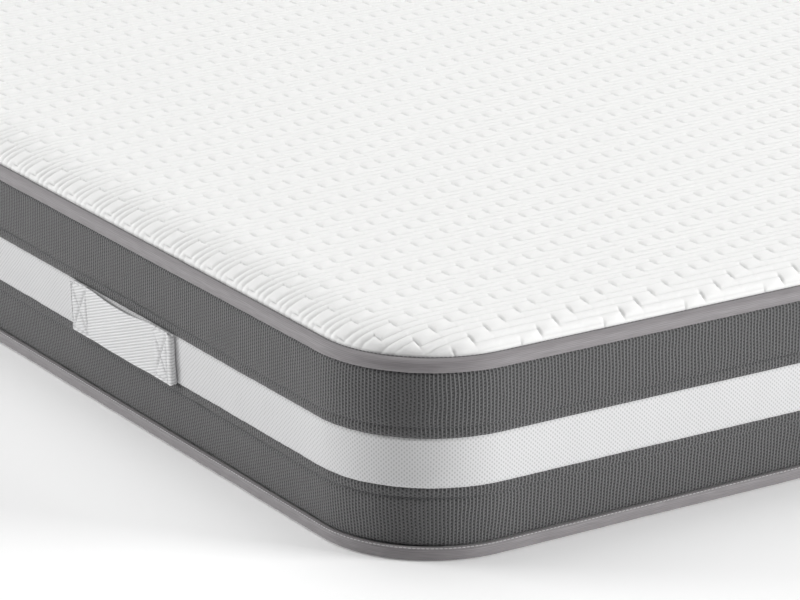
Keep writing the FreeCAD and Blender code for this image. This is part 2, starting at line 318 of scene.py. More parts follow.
def ring(section, step):
    """Carry a closed section, points of (out, z), round the mattress: runs extruded, corners spun."""
    radius = bpy.context.scene.mattress_body.corner_radius
    hx, hy = corner_centres()
    start_fresh()
    bpy.ops.mesh.primitive_circle_add(vertices=len(section), radius=1, fill_type="NOTHING")
    obj = bpy.context.object
    set_positions(obj, [(hx + radius + out, -hy, z) for out, z in section])
    edit(obj)
    bpy.ops.mesh.select_all(action="SELECT")
    turns = max(8, round(radius * QUARTER / step))
    spans = 5                 # long faces along a side, cut to the step further down
    corners = [(hx, hy), (-hx, hy), (-hx, -hy), (hx, -hy)]
    ways = [(0, 1, 0), (-1, 0, 0), (0, -1, 0), (1, 0, 0)]
    for side, (corner, way) in enumerate(zip(corners, ways)):
        run = 2 * (hx if side % 2 else hy)
        bpy.ops.mesh.extrude_repeat(steps=spans, offset=Vector(way) * run / spans, scale_offset=1)
        bpy.ops.mesh.spin(steps=turns, angle=QUARTER, center=(*corner, 0), axis=(0, 0, -1))
    bpy.ops.mesh.select_all(action="SELECT")
    bpy.ops.mesh.remove_doubles(threshold=step / 50)
    bpy.ops.mesh.normals_make_consistent(inside=False)
    for run in (2 * hx, 2 * hy):
        object_mode()
        mesh, xyz = obj.data, positions(obj)
        pairs = np.empty(len(mesh.edges) * 2, int)
        mesh.edges.foreach_get("vertices", pairs)
        ends = xyz[pairs].reshape(-1, 2, 3)
        lengths = np.linalg.norm(ends[:, 0] - ends[:, 1], axis=1)
        mesh.vertices.foreach_set("select", np.zeros(len(mesh.vertices), bool))
        mesh.polygons.foreach_set("select", np.zeros(len(mesh.polygons), bool))
        mesh.edges.foreach_set("select", np.abs(lengths - run / spans) < 0.01 * MM)
        edit(obj, (False, True, False))
        bpy.ops.mesh.subdivide(number_cuts=round(run / spans / step) - 1)
    bpy.context.tool_settings.mesh_select_mode = (True, False, False)
    object_mode()
    return obj


def push_out(obj, amount):
    """Move each vertex of a ring outwards by its own amount."""
    xyz = positions(obj)
    outward = xyz[:, :2] - axis_points(xyz)
    outward /= np.hypot(outward[:, 0], outward[:, 1])[:, None]
    xyz[:, :2] += outward * amount(xyz)[:, None]
    set_positions(obj, xyz)


def ripple(xyz, wavelength, seed):
    """Gentle noise of about -1 to 1 over points in space."""
    return np.array([noise.noise(Vector(point) / wavelength + Vector((seed, seed, seed)))
                     for point in xyz]) * 1.6


# ---------------------------------------------------------------- materials

def add(tree, kind, inputs=None, **settings):
    """Add a node with its settings; inputs are values, sockets, or nodes for their first output."""
    node = tree.nodes.new(kind)
    for key, value in settings.items():
        setattr(node, key, value)
    for key, value in (inputs or {}).items():
        if isinstance(value, bpy.types.Node):
            value = value.outputs[0]
        if isinstance(value, bpy.types.NodeSocket):
            tree.links.new(value, node.inputs[key])
        else:
            node.inputs[key].default_value = value
    return node


def calculate(tree, operation, *values):
    """A math node on values or sockets."""
    return add(tree, "ShaderNodeMath", dict(enumerate(values)), operation=operation)


def tinted(cloth, share):
    """A colour made darker or paler, and no brighter than white."""
    return [min(1, c * share) for c in cloth[:3]] + [1]


def paint(tree, shader, share, first, second):
    """Mix two colours into the shader's base colour."""
    mixed = add(tree, "ShaderNodeMix", {0: share, 6: first, 7: second}, data_type="RGBA")
    tree.links.new(mixed.outputs[2], shader.inputs["Base Color"])


def emboss(tree, shader, height, strength, distance, invert=False):
    """Let a height stand out from the surface as bump."""
    bump = add(tree, "ShaderNodeBump", {"Strength": strength, "Distance": distance, "Height": height},
               invert=invert)
    tree.links.new(bump.outputs[0], shader.inputs["Normal"])


def cloth_shader(name, roughness, sheen):
    """An empty fabric material: its tree and its shader."""
    material = bpy.data.materials.new(name)
    material.use_nodes = True
    tree = material.node_tree
    shader = tree.nodes["Principled BSDF"]
    shader.inputs["Roughness"].default_value = roughness
    shader.inputs["IOR"].default_value = 1.5
    shader.inputs["Sheen Weight"].default_value = sheen
    shader.inputs["Sheen Roughness"].default_value = 0.5
    return material, tree, shader


def surface_parts(tree, *names):
    """The separate coordinates of a UV map, or of Object coordinates when no map is named."""
    if names:
        source = add(tree, "ShaderNodeUVMap", uv_map=names[0])
    else:
        source = add(tree, "ShaderNodeTexCoord").outputs["Object"]
    return source, add(tree, "ShaderNodeSeparateXYZ", {0: source})


def hole_pattern(tree, parts, column, row, width, height):
    """Staggered oval holes, 1 in a hole and 0 between; also the distance across a column.

    A hole's width and height are shares of the column and of the row.
    """
    whole = perimeter_length()
    columns = 2 * round(whole / column / 2)
    # the knit wanders by about a hole over 40 mm
    place = add(tree, "ShaderNodeTexCoord").outputs["Object"]
    drift = add(tree, "ShaderNodeTexNoise", {"Vector": place, "Scale": 26.0, "Detail": 2.0})
    drifts = add(tree, "ShaderNodeSeparateXYZ", {0: drift.outputs["Color"]})
    across = calculate(tree, "MULTIPLY", parts.outputs["X"], columns / whole)
    across = calculate(tree, "MULTIPLY_ADD", drifts.outputs["X"], 1.1, across)
    nearest = calculate(tree, "ROUND", across)
    offset = calculate(tree, "SUBTRACT", across, nearest)
    stagger = calculate(tree, "MULTIPLY", nearest, 0.5)
    down = calculate(tree, "MULTIPLY_ADD", parts.outputs["Y"], 1 / row, stagger)
    down = calculate(tree, "MULTIPLY_ADD", drifts.outputs["Y"], 0.8, down)
    middle = calculate(tree, "ROUND", down)
    drop = calculate(tree, "SUBTRACT", down, middle)
    wide = calculate(tree, "MULTIPLY", offset, 1 / width)
    tall = calculate(tree, "MULTIPLY", drop, 1 / height)
    oval = add(tree, "ShaderNodeCombineXYZ", {0: wide, 1: tall})
    far = add(tree, "ShaderNodeVectorMath", {0: oval}, operation="LENGTH")
    hole = add(tree, "ShaderNodeMapRange", {0: far.outputs["Value"], 1: 0.75, 2: 1.15, 3: 1, 4: 0},
               interpolation_type="SMOOTHSTEP")
    ridge = calculate(tree, "ABSOLUTE", offset)
    return hole, ridge


def grey_mesh_material(border):
    """Polyester spacer mesh, knitted open: dark holes of painted shade between pale zigzag wales with a
    painted highlight.
    """
    material, tree, shader = cloth_shader("grey_spacer_mesh", 0.62, 0.25)
    source, parts = surface_parts(tree, "around")
    hole, ridge = hole_pattern(tree, parts, border.mesh_column, border.mesh_row, 0.33, 0.33)
    wale = add(tree, "ShaderNodeMapRange", {0: ridge, 1: 0.22, 2: 0.5, 3: 0, 4: 1},
               interpolation_type="SMOOTHSTEP")
    cloth = linear(border.mesh)
    # paler towards the wales' crests and darker beside the holes: painted highlight and painted shade
    yarn_and_wale_highlight = add(tree, "ShaderNodeMix", {0: wale, 6: tinted(cloth, 0.86), 7: tinted(cloth, 1.14)},
               data_type="RGBA")
    patchy = add(tree, "ShaderNodeTexNoise", {"Vector": source, "Scale": 420.0, "Detail": 3.0})
    worn = add(tree, "ShaderNodeMapRange", {0: patchy.outputs["Fac"], 1: 0.3, 2: 0.7, 3: 0.82, 4: 1.12})
    mottled = add(tree, "ShaderNodeMix", {0: 1.0, 6: yarn_and_wale_highlight.outputs[2], 7: worn}, data_type="RGBA",
                  blend_type="MULTIPLY")
    # the holes take a dark grey: painted shade inside the open holes
    paint(tree, shader, hole, mottled.outputs[2], tinted(cloth, 0.32))
    raised = calculate(tree, "MULTIPLY", wale, 0.55)
    relief = calculate(tree, "SUBTRACT", raised, hole)
    emboss(tree, shader, relief, 0.9, 1.3 * MM)
    return material


def white_mesh_material(border):
    """White spacer mesh with small staggered pores, which show as faint grey dots of painted shade."""
    material, tree, shader = cloth_shader("white_spacer_mesh", 0.7, 0.2)
    parts = surface_parts(tree, "around")[1]
    hole = hole_pattern(tree, parts, border.band_column, border.band_row, 0.34, 0.26)[0]
    cloth = linear(border.band)
    # the pores take a pale grey: painted shade inside the pores
    paint(tree, shader, hole, cloth, tinted(cloth, 0.74))
    emboss(tree, shader, hole, 0.3, 0.5 * MM, invert=True)
    return material


def tape_material(border):
    """Woven satin binding: fine lengthwise threads with a soft sheen, a little darker in the weave."""
    material, tree, shader = cloth_shader("satin_binding_tape", 0.6, 0.2)
    source, parts = surface_parts(tree, "around")
    # threads of 0.4 mm are drawn 1.6 mm apart so that they show
    threads = calculate(tree, "MULTIPLY", parts.outputs["Y"], 2 * math.pi / (1.6 * MM))
    weave = calculate(tree, "SINE", threads)
    squeezed = add(tree, "ShaderNodeMapping", {"Vector": source, "Scale": (40, 900, 1)})
    streak = add(tree, "ShaderNodeTexNoise", {"Vector": squeezed, "Scale": 1.0, "Detail": 4.0})
    tone = calculate(tree, "MULTIPLY_ADD", weave, 0.12, streak.outputs["Fac"])
    cloth = linear(border.tape)
    mixed = add(tree, "ShaderNodeMapRange", {0: tone, 1: 0.25, 2: 0.8, 3: 0.0, 4: 1.0})
    paint(tree, shader, mixed, tinted(cloth, 0.8), tinted(cloth, 1.15))
    emboss(tree, shader, tone, 0.35, 0.25 * MM)
    return material


def knit_material(quilt):
    """Bleached double knit: matt and soft, with fine courses, with painted shade where it is pulled into
    a step and along its stitch lines.
    """
    material, tree, shader = cloth_shader("bleached_double_knit", 0.8, 0.15)
    source, parts = surface_parts(tree, "cloth")
    # loops of 0.9 mm are drawn 1.5 mm apart so that they show
    loops = []
    for axis in ("X", "Y"):
        run = calculate(tree, "MULTIPLY", parts.outputs[axis], 2 * math.pi / (1.5 * MM))
        loops.append(calculate(tree, "SINE", run))
    knit = calculate(tree, "MULTIPLY", loops[0], loops[1])
    fuzz = add(tree, "ShaderNodeTexNoise", {"Vector": source, "Scale": 300.0, "Detail": 3.0})
    relief = calculate(tree, "MULTIPLY_ADD", knit, 0.5, fuzz.outputs["Fac"])
    emboss(tree, shader, relief, 0.25, 0.3 * MM)
    # painted shade in the steps and along the stitch lines, read from the panel's attribute
    painted_tuck_shade = add(tree, "ShaderNodeAttribute", attribute_name="painted_tuck_shade")
    cloth = linear(quilt.knit)
    paint(tree, shader, painted_tuck_shade.outputs["Fac"], cloth, tinted(cloth, 0.66))
    return material


def webbing_material(handle):
    """Soft polyester webbing with slanting ribs, like a coarse twill."""
    material, tree, shader = cloth_shader("twill_webbing", 0.68, 0.25)
    source, parts = surface_parts(tree, "strap")
    slant = calculate(tree, "MULTIPLY_ADD", parts.outputs["X"], -0.36, parts.outputs["Y"])
    run = calculate(tree, "MULTIPLY", slant, 2 * math.pi / handle.rib)
    rib = calculate(tree, "SINE", run)
    fuzz = add(tree, "ShaderNodeTexNoise", {"Vector": source, "Scale": 500.0, "Detail": 3.0})
    relief = calculate(tree, "MULTIPLY_ADD", fuzz.outputs["Fac"], 0.6, rib)
    emboss(tree, shader, relief, 0.6, 0.4 * MM)
    cloth = linear(handle.colour)
    # darker in the rib valleys: painted shade between the ribs
    painted_valley_shade = add(tree, "ShaderNodeMapRange", {0: rib, 1: -1.0, 2: 0.3, 3: 0.0, 4: 1.0})
    paint(tree, shader, painted_valley_shade, tinted(cloth, 0.72), cloth)
    return material


def thread_material(name, hex_colour):
    """Twisted polyester sewing thread: slightly glossy, with the slant of its ply."""
    material, tree, shader = cloth_shader(name, 0.45, 0.2)
    source = surface_parts(tree)[0]
    ply = add(tree, "ShaderNodeTexWave", {"Vector": source, "Scale": 700.0, "Distortion": 1.0},
              bands_direction="DIAGONAL")
    thread = linear(hex_colour)
    paint(tree, shader, ply.outputs["Fac"], tinted(thread, 0.75), thread)
    emboss(tree, shader, ply.outputs["Fac"], 0.3, 0.1 * MM)
    return material


def foam_material(name, hex_colour, cell):
    """Open-cell polyurethane foam: matt, with fine pores."""
    material, tree, shader = cloth_shader(name, 0.9, 0.0)
    source = surface_parts(tree)[0]
    pores = add(tree, "ShaderNodeTexVoronoi", {"Vector": source, "Scale": 1 / cell})
    foam = linear(hex_colour)
    # darker towards each pore's middle: painted shade inside the pores
    paint(tree, shader, pores.outputs["Distance"], tinted(foam, 0.8), foam)
    emboss(tree, shader, pores.outputs["Distance"], 0.6, 0.5 * cell)
    return material


def felt_material(name, hex_colour):
    """Needled felt or plain woven backing cloth: matt, with a fibrous surface."""
    material, tree, shader = cloth_shader(name, 0.85, 0.2)
    source = surface_parts(tree)[0]
    fibre = add(tree, "ShaderNodeTexNoise", {"Vector": source, "Scale": 900.0, "Detail": 6.0,
                                             "Distortion": 0.6})
    weave = add(tree, "ShaderNodeTexChecker", {"Vector": source, "Scale": 1 / (3 * MM)})
    felt = linear(hex_colour)
    tone = calculate(tree, "MULTIPLY_ADD", weave.outputs["Fac"], 0.12, fibre.outputs["Fac"])
    paint(tree, shader, tone, tinted(felt, 0.7), tinted(felt, 1.1))
    emboss(tree, shader, tone, 0.4, 0.3 * MM)
    return material


# ---------------------------------------------------------------- quilted top

COLUMN_STOPS = np.array([0, 0.045, 0.15, 0.5, 0.85, 0.955])
ROW_STOPS = np.array([0, 0.14, 0.38, 0.62, 0.86])
REPEAT = 4                    # rows before the pattern comes back
SWATCH_COLUMNS, SWATCH_ROWS = 5, 12
FINE_X, FINE_Y = 16, 8        # faces of the swatch in a column and in a row
SWELL_FRAMES = 26             # by then the swatch is full


def is_stitched(column, row):
    """Whether a stitch line runs along a row in a column: one in four is left out."""
    return np.mod(row - column, REPEAT) != 0


def swollen_swatch(quilt):
    """Sew a small swatch down along its stitch lines and let it swell as cloth.

    The heights come back for one column and one repeat of rows, from 0 at a stitch line to 1.
    """
    scene = bpy.context.scene
    nx, ny = SWATCH_COLUMNS * FINE_X, SWATCH_ROWS * FINE_Y
    swatch, ix, iy = grid(nx, ny)
    xyz = positions(swatch)
    xyz[:, 0] = ix * quilt.column / FINE_X
    xyz[:, 1] = iy * quilt.row / FINE_Y
    set_positions(swatch, xyz)
    column, row = ix // FINE_X, iy // FINE_Y
    on_row = iy % FINE_Y == 0
    on_step = ix % FINE_X == 0
    left_stitched = on_step & is_stitched(column - 1, row)
    sewn = on_row & (is_stitched(column, row) | left_stitched)
    in_step = np.mod(iy - (column - 1) * FINE_Y, REPEAT * FINE_Y) <= FINE_Y
    sewn |= on_step & in_step
    sewn |= (ix == 0) | (ix == nx) | (iy == 0) | (iy == ny)
    group = swatch.vertex_groups.new(name="sewn")
    group.add([int(i) for i in np.flatnonzero(sewn)], 1.0, "REPLACE")
    bpy.ops.object.modifier_add(type="CLOTH")
    cloth = swatch.modifiers[-1]
    for key, value in (("quality", 6), ("mass", 0.15), ("tension_stiffness", 8),
                       ("compression_stiffness", 4), ("shear_stiffness", 3), ("bending_stiffness", 0.3),
                       ("air_damping", 6), ("vertex_group_mass", "sewn")):
        setattr(cloth.settings, key, value)
    cloth.settings.shrink_min = -0.08      # the knit is cut a little larger than its backing
    cloth.point_cache.frame_start, cloth.point_cache.frame_end = 1, SWELL_FRAMES
    plain_gravity = scene.gravity.copy()
    scene.gravity = (0, 0, 25)             # stands for the wadding's push
    for step in range(1, SWELL_FRAMES + 1):
        scene.frame_set(step)
    bpy.ops.object.modifier_apply(modifier=cloth.name)
    scene.frame_set(1)
    scene.gravity = plain_gravity
    height = np.zeros((nx + 1, ny + 1))
    height[ix, iy] = positions(swatch)[:, 2]
    bpy.data.objects.remove(swatch)
    middle = SWATCH_COLUMNS // 2
    rows = (np.arange(REPEAT * FINE_Y) + middle * FINE_Y) % (REPEAT * FINE_Y) + REPEAT * FINE_Y
    one = height[middle * FINE_X:(middle + 1) * FINE_X + 1][:, rows]
    if one.max() < 0.2 * MM:
        raise RuntimeError("the quilt swatch did not swell")
    return one / one.max()


def quilt_relief(quilt, one, column, across, row):
    """Height over the stitch lines, and how much painted shade falls in a step or along a seam, on lines
    of the panel's grid.
    """
    a = across * FINE_X
    a0 = np.minimum(np.floor(a).astype(int), FINE_X - 1)
    rest = a - a0
    b = np.mod(row[None, :] - column[:, None], REPEAT) * FINE_Y
    b0 = np.floor(b).astype(int)
    part = b - b0
    b0 %= REPEAT * FINE_Y
    b1 = (b0 + 1) % (REPEAT * FINE_Y)
    low = one[a0[:, None], b0] * (1 - part) + one[a0[:, None], b1] * part
    high = one[a0[:, None] + 1, b0] * (1 - part) + one[a0[:, None] + 1, b1] * part
    swell = low * (1 - rest[:, None]) + high * rest[:, None]
    boundary = column + (across > 0.5)
    from_step = (across - (across > 0.5)) * quilt.column
    along = np.mod(row[None, :] - boundary[:, None] + 1 + REPEAT / 2, REPEAT) - REPEAT / 2 - 0.5
    step = np.exp(-(from_step[:, None] / (0.8 * MM)) ** 2) * np.exp(-np.abs(along / 0.5) ** 4)
    # a faint line of painted shade along the stitch lines
    seam = np.exp(-swell / 0.1)
    return (quilt.loft * (1 - np.exp(-4 * swell)) - quilt.step_depth * step,
            np.maximum(step, 0.22 * seam))


def crowned(quilt, u, v, lift):
    """Lay cloth coordinates over the crown, with the quilting's lift along the surface normal."""
    turns = np.linspace(0, QUARTER, 200)
    inwards = quilt.crown_width * (1 - np.cos(turns))
    rises = quilt.crown_rise * np.sin(turns)
    over = np.concatenate([[0], np.cumsum(np.hypot(np.diff(inwards), np.diff(rises)))])
    extra = over[-1] - quilt.crown_width
    hx, hy = corner_centres()
    radius = KNIT[1][0] - hx
    cx, cy = np.clip(u, -hx, hx), np.clip(v, -hy, hy)
    reach = np.hypot(u - cx, v - cy)
    inside = np.maximum(radius + extra - reach, -quilt.turn_down)
    plan = np.where(inside > over[-1], inside - extra, np.interp(inside, over, inwards))
    turn = np.interp(inside, over, turns)
    height = KNIT[1][2] - quilt.crown_rise + np.interp(inside, over, rises) + np.minimum(inside, 0)
    across = quilt.crown_rise * np.cos(turn)
    up = quilt.crown_width * np.sin(turn)
    steep = np.hypot(across, up)
    hold = np.interp(inside, [0, 2 * MM, 9 * MM], [0, 0.35, 1])     # flat where the tape presses
    lift = (lift - quilt.loft / 2) * hold
    safe = np.maximum(reach, 1e-9)
    out = np.where(reach > 0, radius - plan, 0) + lift * across / steep
    x = cx + (u - cx) / safe * out
    y = cy + (v - cy) / safe * out
    return x, y, height + lift * up / steep, inside


def line_up(panel, quilt):
    """Close the panel: carry its rim round to the underside of the quilting and fill the middle."""
    radius = KNIT[1][0] - corner_centres()[0]
    seam = KNIT[1][2] - quilt.crown_rise
    turns = np.linspace(0, QUARTER, 6)
    half = quilt.crown_width - quilt.side_depth
    rise = quilt.crown_rise - quilt.panel_depth
    path = [(quilt.side_depth, seam - quilt.turn_down)]
    path += [(quilt.crown_width - half * math.cos(t), seam + rise * math.sin(t)) for t in turns]
    edit(panel)
    bpy.ops.mesh.select_all(action="DESELECT")
    bpy.ops.mesh.select_non_manifold(extend=False)

    def drawn_in(rim, inwards, height):
        centre = axis_points(rim)
        away = rim[:, :2] - centre
        away /= np.hypot(away[:, 0], away[:, 1])[:, None]
        return np.column_stack([centre + away * (radius - inwards), np.full(len(rim), height)])

    for inwards, height in path:
        extrude_to(panel, lambda rim: drawn_in(rim, inwards, height))
    bpy.ops.mesh.edge_face_add()
    object_mode()


class MATTRESS_OT_quilted_top(bpy.types.Operator):
    """Swell a stitched swatch, repeat it over the panel and lay the panel over the crown"""
    bl_idname = "mattress.quilted_top"
    bl_label = "Quilted top"

    def execute(self, context):
        quilt = context.scene.mattress_quilt
        one = swollen_swatch(quilt)
        reach_x = KNIT[1][0] + quilt.crown_rise
        reach_y = KNIT[1][1] + quilt.crown_rise
        columns = np.arange(math.floor((-reach_x - quilt.first_column) / quilt.column),
                            math.ceil((reach_x - quilt.first_column) / quilt.column))
        rows = np.arange(math.floor((-reach_y - quilt.first_row) / quilt.row),
                         math.ceil((reach_y - quilt.first_row) / quilt.row))
        column = np.repeat(columns, len(COLUMN_STOPS))
        across = np.tile(COLUMN_STOPS, len(columns))
        row = (rows[:, None] + ROW_STOPS[None, :]).ravel()
        # the second result is the share of painted shade in the steps and along the stitch lines
        lift, step = quilt_relief(quilt, one, column, across, row)

        panel, ix, iy = grid(len(column) - 1, len(row) - 1)
        u = quilt.first_column + (column[ix] + across[ix]) * quilt.column
        v = quilt.first_row + row[iy] * quilt.row
        # hand-guided quilting wanders a little, and fills unevenly
        wander = (np.sin(u / 0.061 + 1.7 * np.sin(v / 0.083))
                  + np.sin(v / 0.047 + 1.1 * np.sin(u / 0.059)))
        fullness = (1 + 0.07 * np.sin(u / 0.033 + 2 * np.sin(v / 0.041))
                    + 0.05 * np.sin(v / 0.023 + u / 0.071))
        v = v + 0.25 * MM * wander
        x, y, z, inside = crowned(quilt, u, v, lift[ix, iy] * fullness)
        set_positions(panel, np.column_stack([x, y, z]))

        mesh = panel.data
        cloth = mesh.uv_layers.new(name="cloth")
        loops = corner_vertices(mesh)
        cloth.data.foreach_set("uv", np.column_stack([u, v])[loops].ravel())
        # painted shade for the knit's colour, in the steps and along the stitch lines
        painted_tuck_shade = mesh.attributes.new("painted_tuck_shade", "FLOAT", "POINT")
        painted_tuck_shade.data.foreach_set("value", step[ix, iy])

        outside = inside <= -quilt.turn_down + 1e-9
        waste = outside[loops.reshape(-1, 4)].all(axis=1)
        for kind, flags in ((mesh.vertices, np.zeros(len(mesh.vertices), bool)),
                            (mesh.edges, np.zeros(len(mesh.edges), bool)), (mesh.polygons, waste)):
            kind.foreach_set("select", flags)
        edit(panel, (False, False, True))
        bpy.ops.mesh.delete(type="FACE")
        bpy.context.tool_settings.mesh_select_mode = (True, False, False)
        object_mode()
        line_up(panel, quilt)
        finish_piece(panel, "quilted_top", knit_material(quilt))
        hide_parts("top_panel_knit", "top_panel_wadding", "top_panel_scrim")
        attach(panel, "root")
        return {"FINISHED"}


# ---------------------------------------------------------------- border, tapes and threads

def bulged(start, end, bulge, count):
    """Points from start to end along a shallow arc that stands off its chord."""
    t = np.linspace(0, 1, count)[:, None]
    start, end = np.array(start), np.array(end)
    chord = end - start
    off = np.array([chord[1], -chord[0]]) / np.hypot(*chord)
    return [tuple(point) for point in start + t * chord + 4 * t * (1 - t) * bulge * off]


def strip_section(z_low, z_top, creases, cloth):
    """Section of a mesh strip, rolled in at its seams and drawn in under its stitch line."""
    near = np.array([0.4, 1.1, 2.2, 3.6]) * MM       # closer points where the cloth turns in
    heights = np.concatenate([np.linspace(z_low, z_top, 7), z_low + near, z_top - near]
                             + [crease + np.array([-2.8, -1.3, 0, 1.3, 2.8]) * MM for crease in creases])
    heights = np.unique(np.round(heights, 5))
    to_seam = np.minimum(heights - z_low, z_top - heights)
    drawn_in = 1.5 * MM
    out = border_out(heights) - drawn_in * np.exp(-(to_seam / (1.3 * MM)) ** 2)
    for crease in creases:
        out -= drawn_in * np.exp(-((heights - crease) / (1.5 * MM)) ** 2)
    back = np.linspace(z_top, z_low, 3)
    return list(zip(out, heights)) + list(zip(border_out(back, cloth), back))


def cloth_strip(name, z_low, z_top, creases, seed, material, node):
    """One strip of the border, with the shallow waves that sewing leaves in it."""
    border = bpy.context.scene.mattress_border
    section = strip_section(z_low, z_top, creases, border.cloth)
    strip = ring(section, bpy.context.scene.mattress_body.ring_step)
    wrapped_uv(strip, section)

    def waves(xyz):
        around = perimeter(xyz[:, 0], xyz[:, 1])
        to_seam = np.minimum(xyz[:, 2] - z_low, z_top - xyz[:, 2])
        puckers = np.sin(around / (2.9 * MM) + 2.1 * np.sin(around / 0.043 + seed))
        return (0.30 * MM * ripple(xyz, 0.035, seed) + 0.5 * MM * ripple(xyz, 0.19, seed + 7)
                + 0.16 * MM * puckers * np.exp(-np.maximum(to_seam, 0) / (7 * MM)))

    push_out(strip, waves)
    finish_piece(strip, name, material, 60)
    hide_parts(node)
    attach(strip, "root")
    return strip


class MATTRESS_OT_border_strips(bpy.types.Operator):
    """Carry the dark mesh strips and the white band round the border"""
    bl_idname = "mattress.border_strips"
    bl_label = "Border strips"

    def execute(self, context):
        border = context.scene.mattress_border
        grey, white = grey_mesh_material(border), white_mesh_material(border)
        cloth_strip("upper_mesh_strip", UPPER_MESH[0][2], UPPER_MESH[1][2],
                    [BAND[1][2] + border.topstitch], 3, grey, "border_mesh_upper")
        cloth_strip("lower_mesh_strip", LOWER_MESH[0][2], LOWER_MESH[1][2],
                    [BAND[0][2] - border.topstitch], 11, grey, "border_mesh_lower")
        cloth_strip("centre_band", BAND[0][2], BAND[1][2], [], 5, white,
                    "border_band_centre")
        return {"FINISHED"}


def binding(name, section, seed, material, node):
    """A folded tape round the whole edge, slightly uneven where it was fed by hand."""
    tape = ring(section, bpy.context.scene.mattress_body.ring_step)
    wrapped_uv(tape, section)
    push_out(tape, lambda xyz: (0.28 * MM * ripple(xyz, 0.016, seed)
                                + 0.35 * MM * ripple(xyz, 0.13, seed)))
    finish_piece(tape, name, material, 50)
    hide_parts(node)
    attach(tape, "root")


class MATTRESS_OT_binding_tapes(bpy.types.Operator):
    """Fold the grey binding tapes over the top and bottom seams"""
    bl_idname = "mattress.binding_tapes"
    bl_label = "Binding tapes"

    def execute(self, context):
        border = context.scene.mattress_border
        material = tape_material(border)
        low, top = TOP_TAPE[0][2], TOP_TAPE[1][2]
        back = TOP_TAPE[1][0] - HALF_WIDTH - 8.5 * MM      # the tape is 8.5 mm deep over the seam
        section = bulged((-2.6 * MM, low), (0, low + 2.8 * MM), 0.8 * MM, 5)
        section += bulged((0, low + 2.8 * MM), (back + 1.6 * MM, top - 0.4 * MM), 2.4 * MM, 9)[1:]
        section += [(back + 0.7 * MM, top), (back, top - 0.2 * MM), (back, low + 0.6 * MM),
                    (back + 0.6 * MM, low)]
        binding("top_binding", section, 21, material, "tape_edge_top")

        low, top = BOTTOM_TAPE[0][2], BOTTOM_TAPE[1][2]
        face = BOTTOM_TAPE[1][0] - HALF_WIDTH
        back = face - 7.8 * MM
        section = bulged((face - 4 * MM, low), (face - 0.6 * MM, low + 4.6 * MM), 0.9 * MM, 6)
        section += bulged((face - 0.6 * MM, low + 4.6 * MM), (face - 0.9 * MM, top - 1.6 * MM),
                          0.4 * MM, 5)[1:]
        section += bulged((face - 0.9 * MM, top - 1.6 * MM), (back + 2.0 * MM, top), 0.5 * MM, 4)[1:]
        section += [(back, top - 0.5 * MM), (back, low + 0.6 * MM), (back + 0.6 * MM, low)]
        binding("bottom_binding", section, 37, material, "tape_edge_bottom")
        return {"FINISHED"}


def sewn_row(name, places, travel, outward, length, radius, material):
    """A row of stitches: one rounded stitch, repeated and laid at each place."""
    start_fresh()
    bpy.ops.mesh.primitive_uv_sphere_add(segments=6, ring_count=4, radius=1)
    row = bpy.context.object
    one = positions(row)
    repeat = row.modifiers.new("repeat", "ARRAY")
    repeat.count = len(places)
    bpy.ops.object.modifier_apply(modifier=repeat.name)
    which = np.repeat(np.arange(len(places)), len(one))
    shape = np.tile(one, (len(places), 1))
    across = np.cross(travel, outward)
    set_positions(row, places[which] + travel[which] * shape[:, 2:3] * length / 2
                  + outward[which] * shape[:, :1] * radius + across[which] * shape[:, 1:2] * radius)
    return finish_piece(row, name, material)


def round_row(name, out, z, pitch, thread, material, node):
    """A row of stitches round the whole mattress."""
    count = round(perimeter_length() / pitch)
    distance = np.arange(count) * perimeter_length() / count
    places, outward, travel = on_perimeter(distance, out, z)
    row = sewn_row(name, places, travel, outward, 0.92 * pitch, thread, material)
    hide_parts(node)
    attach(row, "root")


class MATTRESS_OT_seam_threads(bpy.types.Operator):
    """Sew the topstitching on the mesh strips and the stitches along both tapes"""
    bl_idname = "mattress.seam_threads"
    bl_label = "Seam threads"

    def execute(self, context):
        border = context.scene.mattress_border
        grey = thread_material("grey_sewing_thread", border.thread_colour)
        high = BAND[1][2] + border.topstitch
        low = BAND[0][2] - border.topstitch
        sunk = 1.25 * MM                  # the topstitching draws the mesh in
        round_row("upper_topstitch", border_out(high) - sunk, high, border.stitch, border.thread, grey,
                  "upper_strip_thread")
        round_row("lower_topstitch", border_out(low) - sunk, low, border.stitch, border.thread, grey,
                  "lower_strip_thread")
        round_row("top_tape_stitches", TOP_TAPE[1][0] - HALF_WIDTH - 7.2 * MM, TOP_TAPE[1][2] + 0.1 * MM,
                  border.stitch, border.thread, grey, "top_tape_thread")
        # pale, thick stitches: real thread that also stands for a painted highlight along the bottom
        # tape's folded edge
        pale = thread_material("pale_edge_thread_highlight", border.edge_thread_highlight_colour)
        round_row("bottom_tape_stitches", BOTTOM_TAPE[1][0] - HALF_WIDTH - 2.2 * MM,
                  BOTTOM_TAPE[1][2] - 0.5 * MM, border.stitch, border.edge_thread, pale,
                  "bottom_tape_thread")
        return {"FINISHED"}


